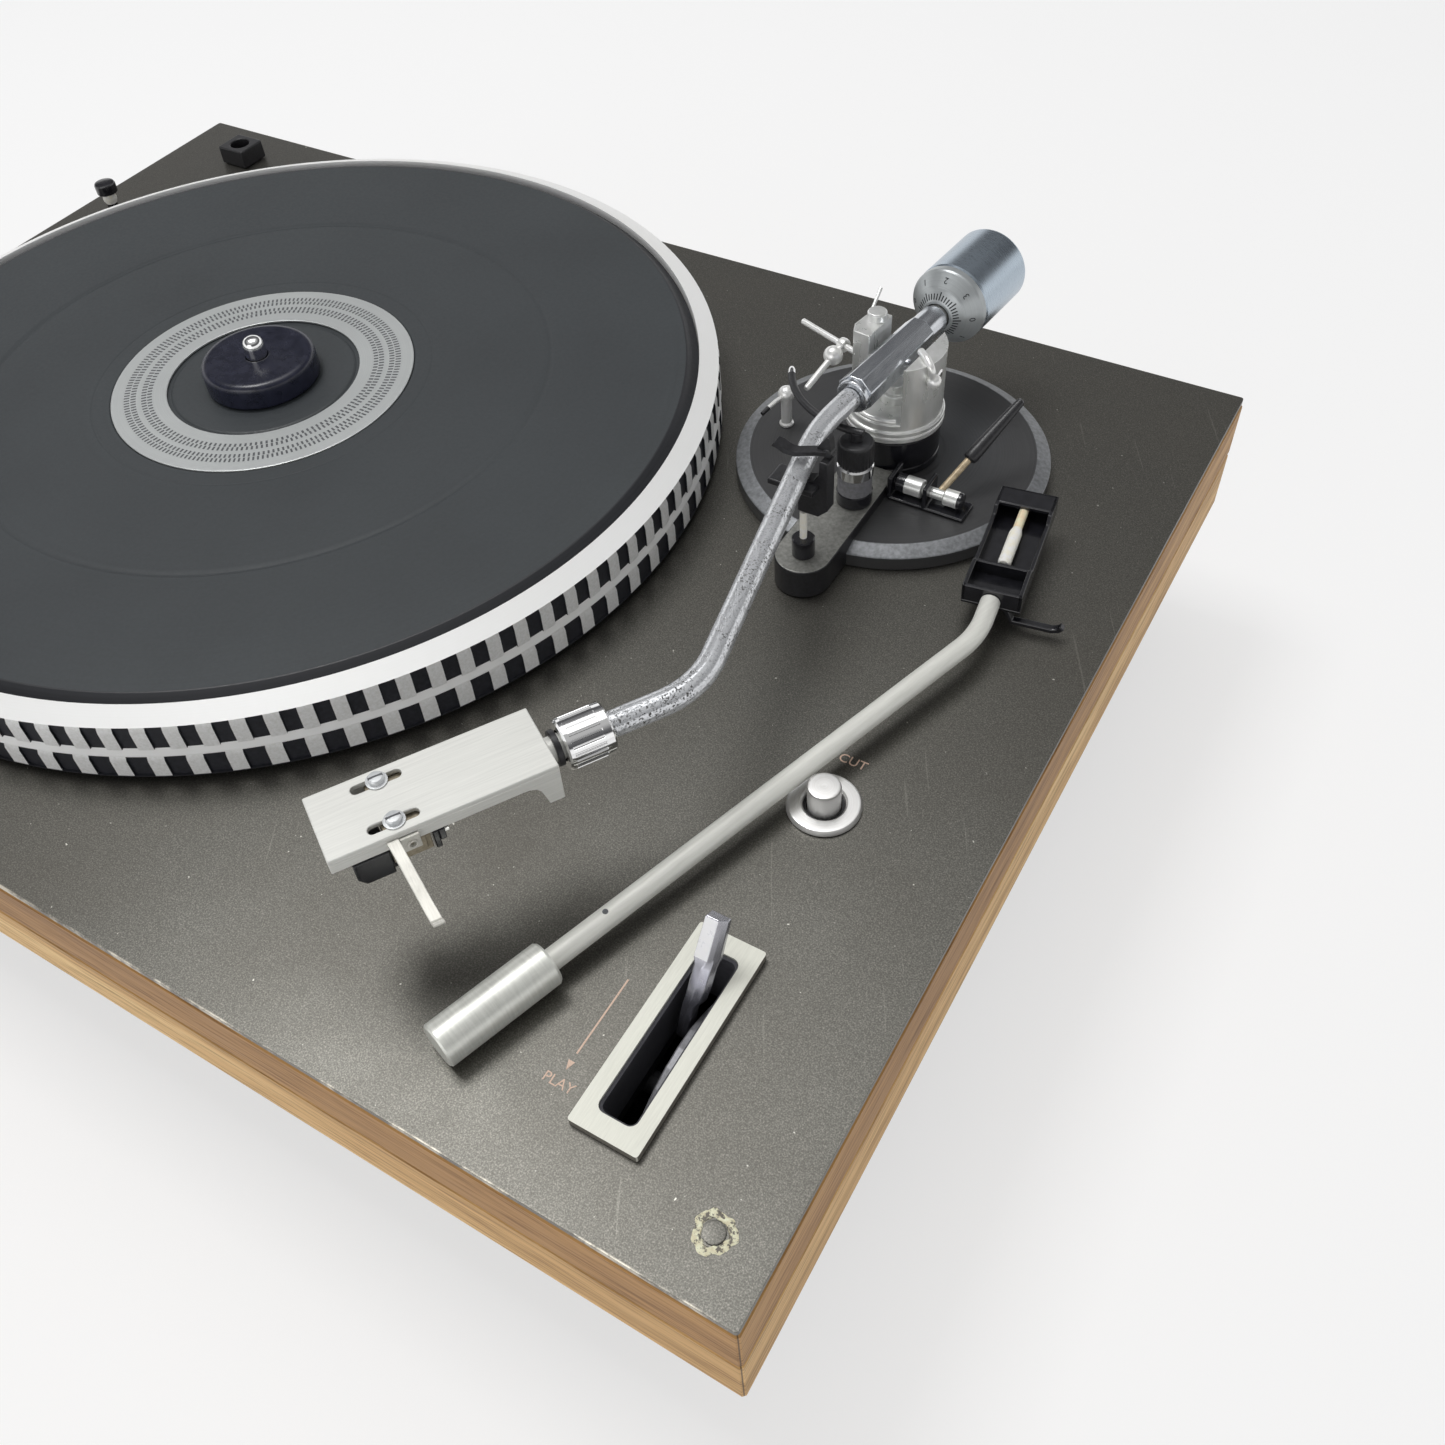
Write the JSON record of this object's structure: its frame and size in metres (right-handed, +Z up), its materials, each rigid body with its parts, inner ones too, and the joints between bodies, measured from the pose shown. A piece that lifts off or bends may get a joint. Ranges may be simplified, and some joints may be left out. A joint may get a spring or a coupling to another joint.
{
  "type": "direct drive turntable",
  "caption": "Record player in a wooden plinth with a metal deck, strobe platter, rubber mat, S-shaped tonearm, counterweight, cue lever, play lever and a loose record cleaning arm.",
  "frame": {"origin": "on the floor under the middle of the plinth", "axes": "+X to the tonearm's side, +Y to the rear, +Z up"},
  "size_m": [0.48, 0.3468, 0.1537],
  "materials": {
    "case_plastic": "matte black moulding",
    "walnut_light": "pale walnut veneer, worn satin lacquer",
    "walnut_dark": "dark walnut veneer, worn satin lacquer",
    "particle_board": "raw particle board",
    "deck_grey": "fine metallic charcoal paint, dusty",
    "foot_rubber": "black rubber",
    "plain_steel": "plain bright steel",
    "bronze": "dull bronze",
    "copper_winding": "lacquered copper wire",
    "magnet": "dark grey ferrite",
    "platter_satin": "cast, satin white",
    "mat_rubber": "flat blue-grey rubber",
    "label_silver": "fine brushed silver",
    "gloss_black": "gloss black",
    "disc_grey": "satin charcoal paint",
    "arm_silver": "satin silver",
    "chrome_plate": "polished, lightly pitted",
    "dial_grey": "satin grey with dark dial marks",
    "shell_aluminium": "fine brushed",
    "cream_plastic": "aged cream",
    "cleaner_satin": "satin, warm silver"
  },
  "bodies": {
    "case": {"base_pan": "case_plastic", "plinth_lower_frame": "walnut_light", "plinth_upper_frame": "walnut_dark", "deck_board": "particle_board", "deck_plate": "deck_grey", "foot_front_left": "foot_rubber", "foot_front_right": "foot_rubber", "foot_rear_left": "foot_rubber", "foot_rear_right": "foot_rubber", "motor_housing": "plain_steel", "bearing_sleeve": "bronze", "stator_coils": "copper_winding", "transformer": "plain_steel", "cord_gland": "foot_rubber", "arm_base_disc": "disc_grey", "arm_rest_bracket": "disc_grey", "pillar_collar": "gloss_black", "lifter_cylinder": "gloss_black", "cue_bracket": "gloss_black", "arm_rest_post": "cream_plastic", "arm_rest": "case_plastic", "thread_post": "chrome_plate", "cut_flange": "shell_aluminium", "lever_bezel": "shell_aluminium", "strobe_lamp": "gloss_black", "headshell_holder": "case_plastic"},
    "turning_platter": {"spindle": "plain_steel", "rotor": "magnet", "platter": "platter_satin", "platter_mat": "mat_rubber", "strobe_label": "label_silver"},
    "loose_adapter": {"adapter_45": "gloss_black"},
    "arm_pillar": {"yoke": "arm_silver", "left_pivot_screw": "chrome_plate", "right_pivot_screw": "chrome_plate", "arm_shaft": "plain_steel"},
    "arm_wand": {"bearing_housing": "arm_silver", "arm_tube": "chrome_plate", "rear_shaft": "arm_silver"},
    "balance_weight": {"counterweight": "chrome_plate"},
    "balance_dial": {"force_dial": "dial_grey"},
    "lock_ring": {"locking_collar": "chrome_plate"},
    "head": {"headshell": "shell_aluminium", "finger_lift": "chrome_plate", "cartridge": "gloss_black", "cartridge_mount": "bronze", "stylus": "gloss_black"},
    "clamp": {"arm_clamp": "case_plastic"},
    "cue": {"cue_lever": "arm_silver", "cue_grip": "case_plastic"},
    "lifter": {"lifter_bar": "gloss_black"},
    "hanging_weight": {"antiskate_weight": "chrome_plate"},
    "play": {"play_lever": "chrome_plate", "play_drum": "case_plastic"},
    "cut": {"cut_button": "shell_aluminium"},
    "speed": {"speed_knob": "shell_aluminium"},
    "cleaner": {"cleaner_tube": "cleaner_satin", "cleaner_weight": "cleaner_satin", "cleaner_head": "gloss_black", "cleaner_pin": "cream_plastic"}
  },
  "joints": [
    {"name": "platter_spin", "type": "hinge", "parent": "case", "child": "turning_platter", "pos_m": [-0.0462, 0.0064, 0.098], "axis": [0, 0, 1], "continuous": true},
    {"name": "adapter_lift", "type": "slide", "parent": "turning_platter", "child": "loose_adapter", "axis": [0, 0, 1], "range_m": [0, 0.03]},
    {"name": "arm_yaw", "type": "hinge", "parent": "case", "child": "arm_pillar", "pos_m": [0.1488, 0.0876, 0.098], "axis": [0, 0, 1], "range_deg": [-47, 0]},
    {"name": "arm_pitch", "type": "hinge", "parent": "arm_pillar", "child": "arm_wand", "pos_m": [0.1488, 0.0876, 0.139], "axis": [-0.9949, 0.1011, 0], "range_deg": [0, 1.4]},
    {"name": "weight_turn", "type": "hinge", "parent": "arm_wand", "child": "balance_weight", "pos_m": [0.1488, 0.0876, 0.141], "axis": [0.1011, 0.9949, 0], "continuous": true},
    {"name": "dial_turn", "type": "hinge", "parent": "balance_weight", "child": "balance_dial", "pos_m": [0.1488, 0.0876, 0.141], "axis": [0.1011, 0.9949, 0], "continuous": true},
    {"name": "collar_turn", "type": "hinge", "parent": "arm_wand", "child": "lock_ring", "pos_m": [0.14596, -0.09027, 0.141], "axis": [0.5314, 0.8471, 0], "range_deg": [0, 90]},
    {"name": "headshell_pull", "type": "slide", "parent": "arm_wand", "child": "head", "axis": [-0.5314, -0.8471, 0], "range_m": [0, 0.015]},
    {"name": "clamp_open", "type": "hinge", "parent": "case", "child": "clamp", "pos_m": [0.1554, 0.0288, 0.1473], "axis": [0, 1, 0], "range_deg": [0, 100]},
    {"name": "cue_turn", "type": "hinge", "parent": "case", "child": "cue", "pos_m": [0.1488, 0.0681, 0.1093], "axis": [1, 0, 0], "range_deg": [0, 40]},
    {"name": "lifter_rise", "type": "slide", "parent": "case", "child": "lifter", "axis": [0, 0, 1], "range_m": [0, 0.0026]},
    {"name": "antiskate_swing", "type": "hinge", "parent": "arm_pillar", "child": "hanging_weight", "pos_m": [0.13321, 0.08556, 0.1393], "axis": [0.9432, -0.3322, 0], "range_deg": [-15, 15]},
    {"name": "play_turn", "type": "hinge", "parent": "case", "child": "play", "pos_m": [0.194, -0.1242, 0.067], "axis": [1, 0, 0], "range_deg": [0, 40]},
    {"name": "cut_press", "type": "slide", "parent": "case", "child": "cut", "axis": [0, 0, -1], "range_m": [0, 0.003], "stiffness_N_per_m": 300, "springref_m": -0.001},
    {"name": "speed_turn", "type": "hinge", "parent": "case", "child": "speed", "pos_m": [-0.205, -0.14, 0.098], "axis": [0, 0, 1], "range_deg": [0, 45]},
    {"name": "cleaner_lift", "type": "slide", "parent": "case", "child": "cleaner", "axis": [0, 0, 1], "range_m": [0, 0.03]}
  ],
  "couplings": [
    {"joint": "arm_pitch", "follows": "cue_turn", "ratio": 0.035},
    {"joint": "lifter_rise", "follows": "cue_turn", "m_per_rad": 0.00358}
  ]
}
